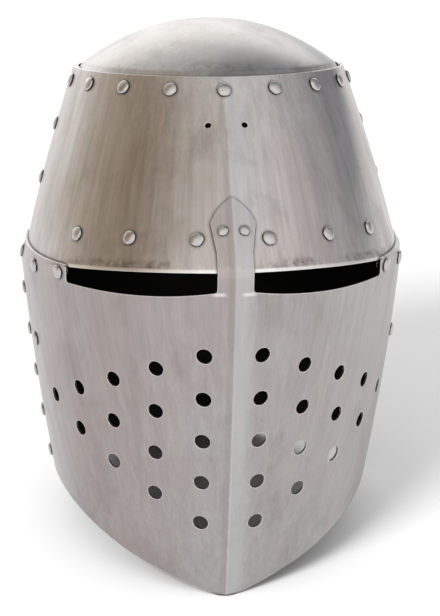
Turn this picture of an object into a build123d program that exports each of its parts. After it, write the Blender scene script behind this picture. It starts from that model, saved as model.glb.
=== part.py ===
from build123d import *
from collections import namedtuple
from math import acos, atan2, cos, degrees, radians, sin
import os

# A great helm of riveted steel plates, in millimetres and degrees.
# While it is built, the sight's upper edge lies in the plane z = 0, the face
# looks along -Y and X runs to the viewer's right. At the end all pieces are
# tipped back together, as the helm stands on the point of its face plate and
# on the rim of its back plate, with z = 0 on the floor.

# Sheet and how the sheets lie on one another
plate = 1.6
seat = 0.1
layer = plate + seat
overlap = 24.0
butt_play = 0.3
overrun = 4.0
reach = 400.0

# The ring at the sight, the waist of the helm: outside of the upper plates
waist_half_width = 120.0
waist_front = 151.7
waist_back = 145.0
waist_side = 0.0
waist_crease = 11.5
waist_front_turn = 33.7
waist_back_turn = 131.8

# The ring at the rim, where the upper plates end round the crown plate
rim_height = 120.5
rim_tilt = 5.0
rim_half_width = 86.2
rim_front = 93.6
rim_back = 80.5
rim_side = -1.8
rim_crease = 6.0
rim_front_turn = 82.0
rim_back_turn = 129.7

# The ring at the jaw, level with the lowest side rivets
jaw_depth = 150.0
jaw_half_width = 99.7
jaw_front = 94.1
jaw_back = 116.0
jaw_side = 26.0
jaw_crease = 16.5
jaw_front_turn = 34.9
jaw_back_turn = 131.8

# How far the walls swell between two rings, as shares of their width
upper_swell_share = 0.0166
lower_swell_share = 0.0162
wall_steps = 4
heading_play = 0.1

# Bottom edges: the face plate's point, its rise to the sides, the nape
point_depth = 209.7
side_depth = 140.0
edge_bow = 11.0
standing_flat = 1.0

# Crown plate
dome_drop = 2.0
dome_rise = 32.0
dome_shares = (1.0, 0.8, 0.6, 0.4, 0.2)
crown_flange = 15.0
crown_play = 0.3

# Sight and the strip over the nose
sight_end = 95.8
sight_drop = 14.2
sight_end_drop = 9.4
sight_nose_drop = 11.6
sight_corner = 2.0
strip_half_width = 10.6
strip_head_half_width = 13.3
strip_neck_height = 12.0
strip_shoulder_height = 28.5
strip_tip_height = 43.0
strip_tip_bow = 1.6

# Flanges at the waist
flange_start_place = -84.5
flange_start_height = 1.6
flange_height = 16.0
flange_knee_place = -42.0
flange_knee_height = 6.4
tail_depth = 10.0
tail_play = 0.2

# Breaths: the holes that the wearer breathes through
breath_radius = 4.9
breath_first = 18.0
breath_pitch = 30.5
breath_top = 50.5
breath_row_pitch = 27.2
breath_droop = 8.6
breath_rows = (5, 4, 3, 2, 1)

# Pair of holes for the lace of a crest
crest_hole_radius = 1.9
crest_hole_half_pitch = 11.1
crest_hole_height = 91.0

# Rivets
rivet_sides = 8
rivet_shank_radius = 2.0
rivet_head_radius = 4.4
rivet_head_height = 1.9
rivet_crown_share = 0.55
rivet_clench_radius = 3.4
rivet_clench_height = 1.2
rivet_clench_play = 0.9
rivet_head_play = 0.1
rivet_play = 0.2
rivet_hole_run = 3.0
small_rivet_share = 0.72
crown_rivet_count = 17
crown_rivet_drop = 8.0
brow_rivet_height = 21.0
brow_rivet_first = 21.9
brow_rivet_pitch = 43.4
brow_rivets_a_side = 3
strip_rivet_half_pitch = 6.4
strip_rivet_height = 26.6
upper_seam_heights = (50.7, 84.5)
lower_seam_first = 20.0
lower_seam_pitch = 27.5
lower_seam_count = 5
tail_rivet_places = (-78.0, -47.0)
tail_rivet_drops = (3.5, 2.0)
corner_rivet_place = -5.0
corner_rivet_height = 4.0
nape_rivet_height = 8.0
nape_rivet_pitch = 36.4
nape_rivets_a_side = 5

# Leather liner: a band behind the brow and two straps that cross over the head
leather = 2.5
leather_play = 0.3
band_bottom = 13.0
band_top = 37.0
band_gap = 12.0
crown_strap_width = 30.0
crown_strap_bottom = 14.0
crown_strap_shoulder = 48.0
crown_strap_rise = 40.0

# Chin strap: riveted to each cheek, with a buckle on the helm's left
chin_place = -19.0
chin_drop = 51.0
strap_width = 18.0
strap_thick = 2.2
strap_play = 0.6
strap_bend = 8.0
strap_lean = 10.0
eye_play = 0.3
buckle_strap_length = 56.0
fold_length = 16.0
billet_length = 96.0
billet_point = 9.0
billet_hole_radius = 1.6
billet_hole_first = 36.0
billet_hole_pitch = 11.0
billet_hole_count = 5
bar_radius = 1.6
bar_play = 0.3
buckle_play = 1.3
buckle_half_width = strap_width / 2 + buckle_play + 2 * bar_radius
buckle_height = 17.0
buckle_corner = 4.0
prong_width = 2.6
prong_thick = 1.6
prong_play = 0.15
prong_overhang = 2.6
prong_slot_play = 1.0
prong_slot_reach = 5.2
keeper_place = 34.0
keeper_height = 8.0
keeper_thick = 1.6
keeper_play = 0.4

Ring = namedtuple("Ring", "half_width front side back crease front_turn back_turn")
Inset = namedtuple("Inset", "front side back")
Arc = namedtuple("Arc", "centre radius start end")

waist = Ring(
    waist_half_width, waist_front, waist_side, waist_back, waist_crease, waist_front_turn, waist_back_turn
)
rim = Ring(rim_half_width, rim_front, rim_side, rim_back, rim_crease, rim_front_turn, rim_back_turn)
jaw = Ring(jaw_half_width, jaw_front, jaw_side, jaw_back, jaw_crease, jaw_front_turn, jaw_back_turn)


def ring_between(first, last, share, swell_share):
    """The ring a share of the way from one ring to another, swollen between them."""
    swell = 1 + 4 * share * (1 - share) * swell_share
    mixed = Ring(*[a + (b - a) * share for a, b in zip(first, last)])
    return mixed._replace(
        half_width=mixed.half_width * swell, front=mixed.front * swell, back=mixed.back * swell
    )


def upper_ring(share):
    return ring_between(waist, rim, share, upper_swell_share)


def lower_ring(share):
    return ring_between(waist, jaw, share, lower_swell_share)


def upper_plane(share):
    tilt = radians(rim_tilt * share)
    return Plane(origin=(0, 0, rim_height * share), x_dir=(1, 0, 0), z_dir=(0, -sin(tilt), cos(tilt)))


def lower_plane(share):
    return Plane.XY.offset(-jaw_depth * share)


def two_radii(across, along, start, turn, end):
    """Radii of two tangent arcs that run across by one length and along by another."""
    s, t, e = radians(start), radians(turn), radians(end)
    a, b = sin(t) - sin(s), sin(e) - sin(t)
    c, d = cos(s) - cos(t), cos(t) - cos(e)
    det = a * d - b * c
    return (across * d - b * along) / det, (a * along - c * across) / det


def ring_arcs(ring, inset):
    """The right half of a ring as four tangent arcs, from the crease round to the back."""
    half = ring.half_width - inset.side
    front = ring.front - inset.front
    back = ring.back - inset.back
    r1, r2 = two_radii(half, front + ring.side, ring.crease, ring.front_turn, 90)
    r3, r4 = two_radii(-half, back, 90, ring.back_turn, 180)
    arcs = []
    spot = (0.0, -front)
    headings = (ring.crease, ring.front_turn, 90, ring.back_turn, 180)
    for radius, start, end in zip((r1, r2, r3, r4), headings, headings[1:]):
        s, e = radians(start), radians(end)
        centre = (spot[0] - radius * sin(s), spot[1] + radius * cos(s))
        arcs.append(Arc(centre, radius, start, end))
        spot = (centre[0] + radius * sin(e), centre[1] - radius * cos(e))
    return arcs


def arc_spot(arc, heading):
    h = radians(heading)
    return arc.centre[0] + arc.radius * sin(h), arc.centre[1] - arc.radius * cos(h)


def layers(count):
    """The inset of a plate's outer face that lies this many plates inside the outermost."""
    return Inset(count * layer, count * layer, count * layer)


def deeper(inset, amount):
    return Inset(*[value + amount for value in inset])


def ring_face(plane, ring, inset):
    """The area inside a ring, as a sketch on its plane."""
    with BuildSketch(plane) as face:
        with BuildLine():
            for arc in ring_arcs(ring, inset):
                middle = (arc.start + arc.end) / 2
                ThreePointArc(arc_spot(arc, arc.start), arc_spot(arc, middle), arc_spot(arc, arc.end))
            mirror(about=Plane.YZ)
        make_face()
    return face.sketch


def wall(shares, ring_at, plane_at, inset, thickness):
    """A closed wall of sheet that follows the rings at the given shares."""
    with BuildPart() as body:
        for share in shares:
            add(ring_face(plane_at(share), ring_at(share), inset))
        loft()
        for share in shares:
            add(ring_face(plane_at(share), ring_at(share), deeper(inset, thickness)))
        loft(mode=Mode.SUBTRACT)
    return body.part


def evenly(first, last):
    """Shares for the sections of a wall, evenly spaced."""
    return [first + (last - first) * step / wall_steps for step in range(wall_steps + 1)]


def upper_wall(inset):
    """A wall of the upper cone, between the sight and the rim."""
    return wall(evenly(0, 1), upper_ring, upper_plane, inset, plate)


def lower_wall(inset):
    """A wall of the lower half, from the sight down past the point."""
    return wall(evenly(0, (point_depth + overrun) / jaw_depth), lower_ring, lower_plane, inset, plate)


def seam_place(height):
    """Where the side seam runs, at a height above the sight."""
    if height > 0:
        return waist_side + (rim_side - waist_side) * height / rim_height
    return waist_side - (jaw_side - waist_side) * height / jaw_depth


def seam_edge(offset):
    """A line beside the seam, as points of the side view from bottom to top."""
    return [(seam_place(height) + offset, height) for height in (-reach, 0, reach)]


def side_prism(points):
    """A straight-sided body through the helm, from its outline in the side view."""
    with BuildPart() as prism:
        with BuildSketch(Plane.YZ):
            with BuildLine():
                Polyline(*points, close=True)
            make_face()
        extrude(amount=reach, both=True)
    return prism.part


def slab(bottom, top):
    """Everything between two heights."""
    with BuildPart() as body:
        with BuildSketch(Plane.XY.offset(bottom)):
            Rectangle(2 * reach, 2 * reach)
        extrude(amount=top - bottom)
    return body.part


def walk_round(ring, inset, distance):
    """The spot on a ring a distance round from the crease, with its heading."""
    arcs = ring_arcs(ring, inset)
    for arc in arcs:
        turn = degrees(distance / arc.radius)
        if turn <= arc.end - arc.start or arc is arcs[-1]:
            return arc_spot(arc, arc.start + turn), arc.start + turn
        distance -= arc.radius * radians(arc.end - arc.start)


def way_round(ring, inset, place):
    """How far round a ring from the crease its wall reaches a place along Y."""
    distance = 0.0
    for arc in ring_arcs(ring, inset):
        last = arc_spot(arc, arc.end)[1]
        if place <= last:
            heading = degrees(acos((arc.centre[1] - place) / arc.radius))
            return distance + arc.radius * radians(heading - arc.start)
        distance += arc.radius * radians(arc.end - arc.start)
    return distance


def wall_plane(ring_at, plane_at, share, inset, distance):
    """A plane that touches a wall from outside. A negative distance goes round the other side."""
    nudge = plate / rim_height
    spot, heading = walk_round(ring_at(share), inset, abs(distance))
    arcs = zip(ring_arcs(ring_at(share), inset), ring_arcs(ring_at(share + nudge), inset))
    for arc, arc_above in arcs:
        if heading <= arc.end + heading_play:
            above = arc_spot(arc_above, heading)
            break
    here = plane_at(share).from_local_coords(Vector(*spot))
    there = plane_at(share + nudge).from_local_coords(Vector(*above))
    along = Vector(cos(radians(heading)), sin(radians(heading)), 0)
    out = along.cross(there - here).normalized() * (1 if there.Z > here.Z else -1)
    if distance < 0:
        here = Vector(-here.X, here.Y, here.Z)
        along = Vector(along.X, -along.Y, 0)
        out = Vector(-out.X, out.Y, out.Z)
    return Plane(origin=here, x_dir=along, z_dir=out)


def upper_spot(height, depth, distance):
    """A plane on the upper cone, on the plate that lies this many plates deep."""
    return wall_plane(upper_ring, upper_plane, height / rim_height, layers(depth), distance)


def lower_spot(drop, depth, distance):
    """A plane on the lower half, on the plate that lies this many plates deep."""
    return wall_plane(lower_ring, lower_plane, drop / jaw_depth, layers(depth), distance)


def both_sides(distances):
    return [side * distance for distance in distances for side in (-1, 1)]


def walk_length(ring, inset):
    """The length of half a ring, from the crease to the back."""
    return sum(arc.radius * radians(arc.end - arc.start) for arc in ring_arcs(ring, inset))


def kept(body, regions, cuts=()):
    """What is left of a body inside all the regions and outside all the cuts."""
    with BuildPart() as piece:
        add(body)
        for region in regions:
            add(region, mode=Mode.INTERSECT)
        for cut in cuts:
            add(cut, mode=Mode.SUBTRACT)
    return piece.part


# Regions of the side view and of the front view that the plates are cut to
seam_lap = overlap / 2
butt = seam_lap + butt_play
notch_top = flange_height + butt_play
front_region = side_prism([(-reach, -reach)] + seam_edge(seam_lap) + [(-reach, reach)])
back_region = side_prism([(reach, -reach)] + seam_edge(-seam_lap) + [(reach, reach)])
butted_region = side_prism([(-reach, -reach)] + seam_edge(-butt) + [(-reach, reach)])
notch_region = side_prism([(-butt, -reach), (-butt, notch_top), (reach, notch_top), (reach, -reach)])

point_place = -lower_ring(point_depth / jaw_depth).front
side_place = seam_place(-side_depth)
nape_ring = lower_ring(side_depth / jaw_depth)
nape_place = nape_ring.side + nape_ring.back
stand_rise = point_depth - side_depth + standing_flat
lean = degrees(atan2(stand_rise, nape_place - point_place))

with BuildPart() as point_cut:
    with BuildSketch(Plane.YZ):
        with BuildLine():
            tip = (point_place, -point_depth)
            side = (side_place, -side_depth)
            SagittaArc(tip, side, edge_bow)
            Polyline(side, (reach, -side_depth), (reach, reach), (-reach, reach))
            Polyline((-reach, reach), (-reach, -point_depth), tip)
        make_face()
    extrude(amount=reach, both=True)

with BuildPart() as floor_cut:
    with BuildSketch(Plane.YZ):
        with BuildLine():
            climb = reach * stand_rise / (nape_place - point_place)
            start = (point_place, -point_depth)
            end = (point_place + reach, climb - point_depth)
            Polyline(start, end, (end[0], -2 * reach), (start[0], -2 * reach), close=True)
        make_face()
    extrude(amount=reach, both=True)

with BuildPart() as sight_cut:
    with BuildSketch(Plane.XZ) as sight:
        with BuildLine():
            nose = (strip_half_width, -sight_nose_drop)
            end = (sight_end, -sight_end_drop)
            ThreePointArc(nose, ((nose[0] + end[0]) / 2, -sight_drop), end)
            Polyline(end, (sight_end, overrun), (strip_half_width, overrun), nose)
        make_face()
        mirror(about=Plane.YZ)
        fillet(sight.vertices().sort_by(Axis.Y)[:4], sight_corner)
    extrude(amount=reach)

with BuildPart() as strip_region:
    with BuildSketch(Plane.XZ):
        with BuildLine():
            neck = (strip_half_width, strip_neck_height)
            shoulder = (strip_head_half_width, strip_shoulder_height)
            top = (0, strip_tip_height)
            Polyline((0, -overrun), (strip_half_width, -overrun), neck, shoulder)
            SagittaArc(shoulder, top, -strip_tip_bow)
            Line(top, (0, -overrun))
        make_face()
        mirror(about=Plane.YZ)
    extrude(amount=reach)

with BuildPart() as flange_region:
    with BuildSketch(Plane.YZ):
        with BuildLine():
            start = (flange_start_place, flange_start_height)
            end = (seam_lap, flange_height)
            knee = (flange_knee_place, flange_knee_height)
            ThreePointArc(start, knee, end)
            Polyline(end, (reach, flange_height), (reach, -overrun), (start[0], -overrun), start)
        make_face()
    extrude(amount=reach, both=True)

with BuildPart() as tail_region:
    with BuildSketch(Plane.XZ):
        with Locations((0, -tail_depth / 2)):
            Rectangle(2 * reach, tail_depth)
            Rectangle(2 * (sight_end + tail_play), tail_depth + overrun, mode=Mode.SUBTRACT)
    extrude(amount=reach, both=True)


# Where the rivets sit: planes on the outside, each with the thickness that it grips
def depth_to(spot, ring, plane, inset):
    """How far in from a spot the wall of another inset lies, at the same heading."""
    along = spot.x_dir if spot.origin.X >= 0 else Vector(spot.x_dir.X, -spot.x_dir.Y, 0)
    heading = degrees(atan2(along.Y, along.X))
    for arc in ring_arcs(ring, inset):
        if heading <= arc.end + heading_play:
            inner = plane.from_local_coords(Vector(*arc_spot(arc, heading)))
            break
    outer = Vector(abs(spot.origin.X), spot.origin.Y, spot.origin.Z)
    out = Vector(abs(spot.z_dir.X), spot.z_dir.Y, spot.z_dir.Z)
    return (outer - inner).dot(out)


def crown_rivet_spots():
    share = 1 - crown_rivet_drop / rim_height
    ring = upper_ring(share)
    height = rim_height * share
    seam_way = way_round(ring, layers(0), seam_place(height))
    full_way = walk_length(ring, layers(0))
    spots = []
    for number in range(crown_rivet_count):
        way = 2 * full_way * number / crown_rivet_count
        distance = way if way <= full_way else way - 2 * full_way
        behind = abs(distance) > seam_way + seam_lap
        spot = upper_spot(height, 1 if behind else 0, distance)
        spots.append((spot, depth_to(spot, ring, upper_plane(share), deeper(crown_inset, plate))))
    return spots


def brow_rivet_spots():
    share = brow_rivet_height / rim_height
    ring = upper_ring(share)
    spots = []
    for number in range(brow_rivets_a_side):
        way = brow_rivet_first + brow_rivet_pitch * number
        back_way = walk_length(ring, layers(1)) - way
        inner = deeper(band_inset, leather)
        if number == brow_rivets_a_side - 1:
            inner = deeper(strap_inset, leather)
        for depth, distance in ((0, way), (0, -way), (1, back_way), (1, -back_way)):
            spot = upper_spot(brow_rivet_height, depth, distance)
            spots.append((spot, depth_to(spot, ring, upper_plane(share), inner)))
    return spots


def strip_rivet_spots():
    ways = both_sides([strip_rivet_half_pitch])
    return [(upper_spot(strip_rivet_height, -1, way), layer + plate) for way in ways]


def upper_seam_spots(side):
    spots = []
    for height in upper_seam_heights:
        way = way_round(upper_ring(height / rim_height), layers(0), seam_place(height))
        spots.append((upper_spot(height, 0, side * way), layer + plate))
    return spots


def lower_seam_spots(side):
    spots = []
    for number in range(lower_seam_count):
        drop = lower_seam_first + lower_seam_pitch * number
        way = way_round(lower_ring(drop / jaw_depth), layers(-1), seam_place(-drop))
        spots.append((lower_spot(drop, -1, side * way), layer + plate))
    return spots


def cheek_rivet_spots(side):
    """Through the face plate's flange, two ahead of the side seam and one in it."""
    spots = []
    for place, drop in zip(tail_rivet_places, tail_rivet_drops):
        way = way_round(lower_ring(drop / jaw_depth), layers(-1), place)
        spots.append((lower_spot(drop, -1, side * way), layer + plate))
    ring = upper_ring(corner_rivet_height / rim_height)
    way = way_round(ring, layers(-1), corner_rivet_place)
    spots.append((upper_spot(corner_rivet_height, -1, side * way), 2 * layer + plate))
    return spots


def nape_rivet_spots():
    """Through the back plate's flange, one in the middle and more on each side."""
    ring = upper_ring(nape_rivet_height / rim_height)
    full_way = walk_length(ring, layers(0))
    ways = [full_way - nape_rivet_pitch * (number + 1) for number in range(nape_rivets_a_side)]
    return [
        (upper_spot(nape_rivet_height, 0, way), layer + plate) for way in [full_way] + both_sides(ways)
    ]


def chin_rivet_spot(side):
    way = way_round(lower_ring(chin_drop / jaw_depth), layers(-1), chin_place)
    return lower_spot(chin_drop, -1, side * way), plate + strap_play + strap_thick


def rivet_head(spot, size_share):
    """A low head with flat sides and a flat top."""
    radius = rivet_head_radius * size_share
    with BuildPart() as head:
        with BuildSketch(spot.offset(rivet_head_play)):
            RegularPolygon(radius, rivet_sides)
        with BuildSketch(spot.offset(rivet_head_play + rivet_head_height * size_share)):
            RegularPolygon(radius * rivet_crown_share, rivet_sides)
        loft(ruled=True)
    return head.part


def rivets(spots, size_share=1.0):
    """Low heads outside, shanks through the sheets, clenched ends inside."""
    with BuildPart() as group:
        for spot, grip in spots:
            inside = spot.offset(-grip - rivet_clench_play)
            add(rivet_head(spot, size_share))
            with BuildSketch(inside):
                RegularPolygon(rivet_shank_radius * size_share, rivet_sides)
            extrude(amount=grip + rivet_clench_play + rivet_head_play)
            with BuildSketch(inside):
                RegularPolygon(rivet_clench_radius * size_share, rivet_sides)
            extrude(amount=-rivet_clench_height * size_share)
    return group.part


def drills(spots, size_share=1.0):
    """Straight runs through the sheets, a little wider than the shanks."""
    with BuildPart() as runs:
        for spot, grip in spots:
            with BuildSketch(spot.offset(rivet_hole_run)):
                RegularPolygon(rivet_shank_radius * size_share + rivet_play, rivet_sides)
            extrude(amount=-grip - 2 * rivet_hole_run)
    return runs.part


def round_holes(spots, radius):
    with BuildPart() as holes:
        for spot in spots:
            with BuildSketch(spot.offset(rivet_hole_run)):
                Circle(radius)
            extrude(amount=-plate - 2 * rivet_hole_run)
    return holes.part


def breath_spots():
    spots = []
    for row, count in enumerate(breath_rows):
        for column in range(count):
            drop = breath_top + breath_row_pitch * row + breath_droop * column
            way = breath_first + breath_pitch * column
            spots += [lower_spot(drop, -1, side * way) for side in (-1, 1)]
    return spots


# A cap over a ring: sections that are drawn in as they rise to a point
def set_in(ring, inset):
    return ring._replace(
        half_width=ring.half_width - inset.side,
        front=ring.front - inset.front,
        back=ring.back - inset.back,
    )


def middle_of(ring):
    return (ring.side + ring.back - ring.front) / 2


def drawn_in(ring, share):
    """A ring shrunk towards its middle, its crease fading."""
    middle = middle_of(ring)
    return ring._replace(
        half_width=ring.half_width * share,
        front=(ring.front + middle) * share - middle,
        side=middle + (ring.side - middle) * share,
        back=ring.back * share,
        crease=ring.crease * share**3,
    )


def dished(width, rise):
    """Shares and heights of a cap's sections along a round dish."""
    radius = (width**2 + rise**2) / (2 * rise)
    rim_angle = atan2(width, radius - rise)
    levels = []
    for share in dome_shares:
        angle = rim_angle * share
        levels.append((sin(angle) / sin(rim_angle), radius * (cos(angle) - cos(rim_angle))))
    return levels


def arched(width, rise):
    """Shares and heights of a cap's sections that leave the wall in line with it."""
    angles = [radians(90 * (1 - share)) for share in dome_shares]
    return [(cos(angle), rise * sin(angle)) for angle in angles]


def capped_wall(shares, inset, rise, sections):
    """All that lies inside a wall of the upper cone and the cap that closes it."""
    ring = set_in(upper_ring(shares[-1]), inset)
    top = upper_plane(shares[-1])
    with BuildPart() as body:
        for share in shares:
            add(ring_face(upper_plane(share), upper_ring(share), inset))
        loft()
        rings = [
            ring_face(top.offset(height), drawn_in(ring, share), layers(0))
            for share, height in sections(ring.half_width, rise)
        ]
        loft([*rings, Vertex(top.from_local_coords(Vector(0, middle_of(ring), rise)))])
    return body.part


def hood(shares, inset, thickness, rise, sections):
    """A wall of the upper cone, closed by a cap."""
    with BuildPart() as body:
        add(capped_wall(shares, inset, rise, sections))
        add(
            capped_wall(shares, deeper(inset, thickness), rise - thickness, sections),
            mode=Mode.SUBTRACT,
        )
    return body.part


# Sheet-metal plates
crown_inset = Inset(layer + crown_play, 2 * layer + crown_play, 2 * layer + crown_play)
band_inset = Inset(plate + leather_play, layer + plate + leather_play, layer + plate + leather_play)
strap_inset = deeper(band_inset, leather + leather_play)

crown_rivets = crown_rivet_spots()
brow_rivets = brow_rivet_spots()
strip_rivets = strip_rivet_spots()
upper_seams = {side: upper_seam_spots(side) for side in (-1, 1)}
lower_seams = {side: lower_seam_spots(side) for side in (-1, 1)}
cheek_rivets = {side: cheek_rivet_spots(side) for side in (-1, 1)}
nape_rivets = nape_rivet_spots()
chin_rivets = {side: [chin_rivet_spot(side)] for side in (-1, 1)}

side_drills = [drills(group[side]) for group in (upper_seams, cheek_rivets) for side in (-1, 1)]
face_drills = [drills(group[side]) for group in (lower_seams, cheek_rivets) for side in (-1, 1)]
chin_drills = [drills(chin_rivets[side]) for side in (-1, 1)]
rim_drills = [drills(crown_rivets), drills(brow_rivets)]
strip_drills = [drills(strip_rivets, small_rivet_share)]

crest_spots = [upper_spot(crest_hole_height, 0, way) for way in both_sides([crest_hole_half_pitch])]

upper_front = kept(upper_wall(layers(0)), [front_region], [notch_region])
upper_front = kept(
    upper_front + kept(lower_wall(layers(0)), [tail_region.part, butted_region]),
    [],
    rim_drills + side_drills + strip_drills + [round_holes(crest_spots, crest_hole_radius)],
)
upper_back = kept(
    upper_wall(layers(1)), [back_region], rim_drills + side_drills + [drills(nape_rivets)]
)
face_flange = kept(upper_wall(layers(-1)), [front_region, flange_region.part + strip_region.part])
face_lower = kept(lower_wall(layers(-1)), [front_region, point_cut.part], [sight_cut.part])
face = kept(
    face_flange + face_lower,
    [],
    face_drills + chin_drills + strip_drills + [round_holes(breath_spots(), breath_radius)],
)
back_flange = kept(upper_wall(layers(0)), [back_region, slab(0, flange_height)])
back_lower = kept(
    lower_wall(layers(0)), [back_region, slab(-side_depth, 0)], [floor_cut.part]
)
lower_back = kept(back_flange + back_lower, [], face_drills + [drills(nape_rivets)])

crown_shares = evenly(1 - (dome_drop + crown_flange) / rim_height, 1 - dome_drop / rim_height)
crown = kept(hood(crown_shares, crown_inset, plate, dome_rise, dished), [], [drills(crown_rivets)])


# Leather liner
band_shares = evenly(band_bottom / rim_height, band_top / rim_height)
with BuildPart() as front_gap:
    with BuildSketch(Plane.XZ):
        Rectangle(2 * band_gap, 2 * reach)
    extrude(amount=reach)
band = kept(
    wall(band_shares, upper_ring, upper_plane, band_inset, leather),
    [],
    [front_gap.part, drills(brow_rivets)],
)

strap_shares = evenly(crown_strap_bottom / rim_height, crown_strap_shoulder / rim_height)
strap_plane = upper_plane(strap_shares[-1])
strap_ring = set_in(upper_ring(strap_shares[-1]), strap_inset)
crossing = strap_plane.from_local_coords(Vector(0, middle_of(strap_ring), crown_strap_rise))
crossing_spot = Plane(origin=crossing, x_dir=(1, 0, 0), z_dir=strap_plane.z_dir)
crossing_rivet = [(crossing_spot, 2 * leather + 3 * leather_play)]
strap_start = brow_rivets[-4][0].origin


def crown_strap(side, rise):
    """From a brow rivet at the front, over the head to one at the back on the other side."""
    along = (side * strap_start.X, strap_start.Y - crossing.Y, 0)
    with BuildPart() as run:
        with BuildSketch(Plane(origin=crossing, x_dir=along)):
            Rectangle(2 * reach, crown_strap_width)
        extrude(amount=reach, both=True)
    shell = hood(strap_shares, strap_inset, leather, rise, arched)
    return kept(shell, [run.part], [drills(brow_rivets), drills(crossing_rivet)])


crown_straps = {
    1: crown_strap(1, crown_strap_rise),
    -1: crown_strap(-1, crown_strap_rise - leather - leather_play),
}


# Chin strap
def chin_frame(side):
    """Across the strap where it is riveted: X runs down the strap and Y into the helm."""
    spot = chin_rivets[side][0][0]
    inward = -spot.z_dir
    plumb = Vector(0, sin(radians(lean)), -cos(radians(lean)))
    down = (plumb - inward * plumb.dot(inward)).normalized()
    origin = spot.origin + inward * (plate + strap_play)
    return Plane(origin=origin, x_dir=down, z_dir=down.cross(inward))


def run_frame(side):
    """The same, turned to lie along the part of the strap below its bend."""
    start = chin_frame(side)
    along = start.x_dir * cos(radians(strap_lean)) + start.y_dir * sin(radians(strap_lean))
    return Plane(
        origin=start.origin + start.x_dir * strap_bend, x_dir=along, z_dir=start.z_dir
    )


def bar_frame(side):
    """On the axis of the bar that the buckle turns on."""
    run = run_frame(side)
    centre = Vector(buckle_strap_length + bar_radius + bar_play, strap_thick)
    return Plane(origin=run.from_local_coords(centre), x_dir=run.x_dir, z_dir=run.z_dir)


def facing(frame):
    """A plane over the strap's face: X down the strap, Z into the helm."""
    return Plane(origin=frame.origin, x_dir=frame.x_dir, z_dir=frame.y_dir)


def strap(side, length):
    """A flat strap that is rounded at the rivet and leans in below its bend."""
    start = chin_frame(side)
    run = run_frame(side)
    half_width = strap_width / 2
    with BuildPart() as body:
        with BuildSketch(start):
            with Locations(((strap_bend - half_width) / 2, strap_thick / 2)):
                Rectangle(strap_bend + half_width, strap_thick)
        extrude(amount=half_width, both=True)
        with BuildSketch(facing(start)):
            Circle(half_width)
            with Locations((half_width, 0)):
                Rectangle(strap_width, strap_width)
        extrude(amount=reach, both=True, mode=Mode.INTERSECT)
        with BuildSketch(run):
            with BuildLine():
                slant = strap_thick * sin(radians(strap_lean))
                corners = [(0, 0), (length, 0), (length, strap_thick), (-slant, strap_thick)]
                Polyline(*corners, close=True)
            make_face()
        extrude(amount=half_width, both=True)
        with BuildSketch(facing(start)):
            Circle(rivet_shank_radius + eye_play)
        extrude(amount=strap_bend, both=True, mode=Mode.SUBTRACT)
    return body.part


def billet(side):
    """The long strap, with a pointed end and a row of holes."""
    run = run_frame(side)
    half_width = strap_width / 2
    with BuildPart() as body:
        add(strap(side, billet_length))
        with BuildSketch(facing(run)):
            with BuildLine():
                shoulder = billet_length - billet_point
                Polyline((shoulder, half_width), (billet_length, 0), (shoulder, -half_width))
                Polyline(
                    (shoulder, -half_width),
                    (billet_length + half_width, -half_width),
                    (billet_length + half_width, half_width),
                    (shoulder, half_width),
                )
            make_face()
            for number in range(billet_hole_count):
                with Locations((billet_hole_first + billet_hole_pitch * number, 0)):
                    Circle(billet_hole_radius)
        extrude(amount=half_width, both=True, mode=Mode.SUBTRACT)
    return body.part


def buckle_strap(side):
    """The short strap, folded round the buckle's bar."""
    run = run_frame(side)
    bar = bar_frame(side)
    eye_radius = bar_radius + bar_play
    with BuildPart() as body:
        add(strap(side, buckle_strap_length))
        with BuildSketch(run):
            with Locations((buckle_strap_length - fold_length / 2, strap_thick)):
                Rectangle(fold_length, 2 * strap_thick)
        extrude(amount=strap_width / 2, both=True)
        with BuildSketch(bar):
            Circle(eye_radius + strap_thick)
        extrude(amount=strap_width / 2, both=True)
        with BuildSketch(bar):
            Circle(eye_radius)
        extrude(amount=strap_width / 2, both=True, mode=Mode.SUBTRACT)
        with BuildSketch(bar):
            Rectangle(2 * prong_slot_reach, 2 * prong_slot_reach)
        extrude(amount=prong_width / 2 + prong_slot_play, both=True, mode=Mode.SUBTRACT)
    return body.part


def buckle_frame(side):
    """A squared loop whose near side is the bar."""
    bar = bar_frame(side)
    bar_size = 2 * bar_radius
    width = 2 * buckle_half_width
    inner_width = width - 2 * bar_size
    with BuildPart() as body:
        with BuildSketch(facing(bar)):
            with Locations((buckle_height / 2, 0)):
                RectangleRounded(buckle_height + bar_size, width, buckle_corner)
                Rectangle(buckle_height - bar_size, inner_width, mode=Mode.SUBTRACT)
            Rectangle(2 * bar_size, inner_width, mode=Mode.SUBTRACT)
        extrude(amount=bar_radius, both=True)
        with BuildSketch(bar):
            Circle(bar_radius)
        extrude(amount=buckle_half_width - bar_radius, both=True)
    return body.part


def prong(side):
    """A tongue with an eye round the bar, laid over the buckle's far side."""
    bar = bar_frame(side)
    bottom = bar_radius + prong_play
    reach_out = buckle_height + bar_radius + prong_overhang
    with BuildPart() as body:
        with BuildSketch(bar):
            Circle(bottom + prong_thick)
            with Locations((reach_out / 2, bottom + prong_thick / 2)):
                Rectangle(reach_out, prong_thick)
            Circle(bottom, mode=Mode.SUBTRACT)
        extrude(amount=prong_width / 2, both=True)
    return body.part


def keeper(side):
    """A leather loop round the short strap, with room for the long one."""
    run = run_frame(side)
    inner_height = 2 * (strap_thick + keeper_play)
    inner_width = strap_width + 2 * keeper_play
    across = Plane(origin=run.origin + run.x_dir * keeper_place, x_dir=run.y_dir, z_dir=run.x_dir)
    with BuildPart() as body:
        with BuildSketch(across):
            with Locations((inner_height / 2 - keeper_play, 0)):
                Rectangle(inner_height + 2 * keeper_thick, inner_width + 2 * keeper_thick)
                Rectangle(inner_height, inner_width, mode=Mode.SUBTRACT)
        extrude(amount=keeper_height / 2, both=True)
    return body.part


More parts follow.
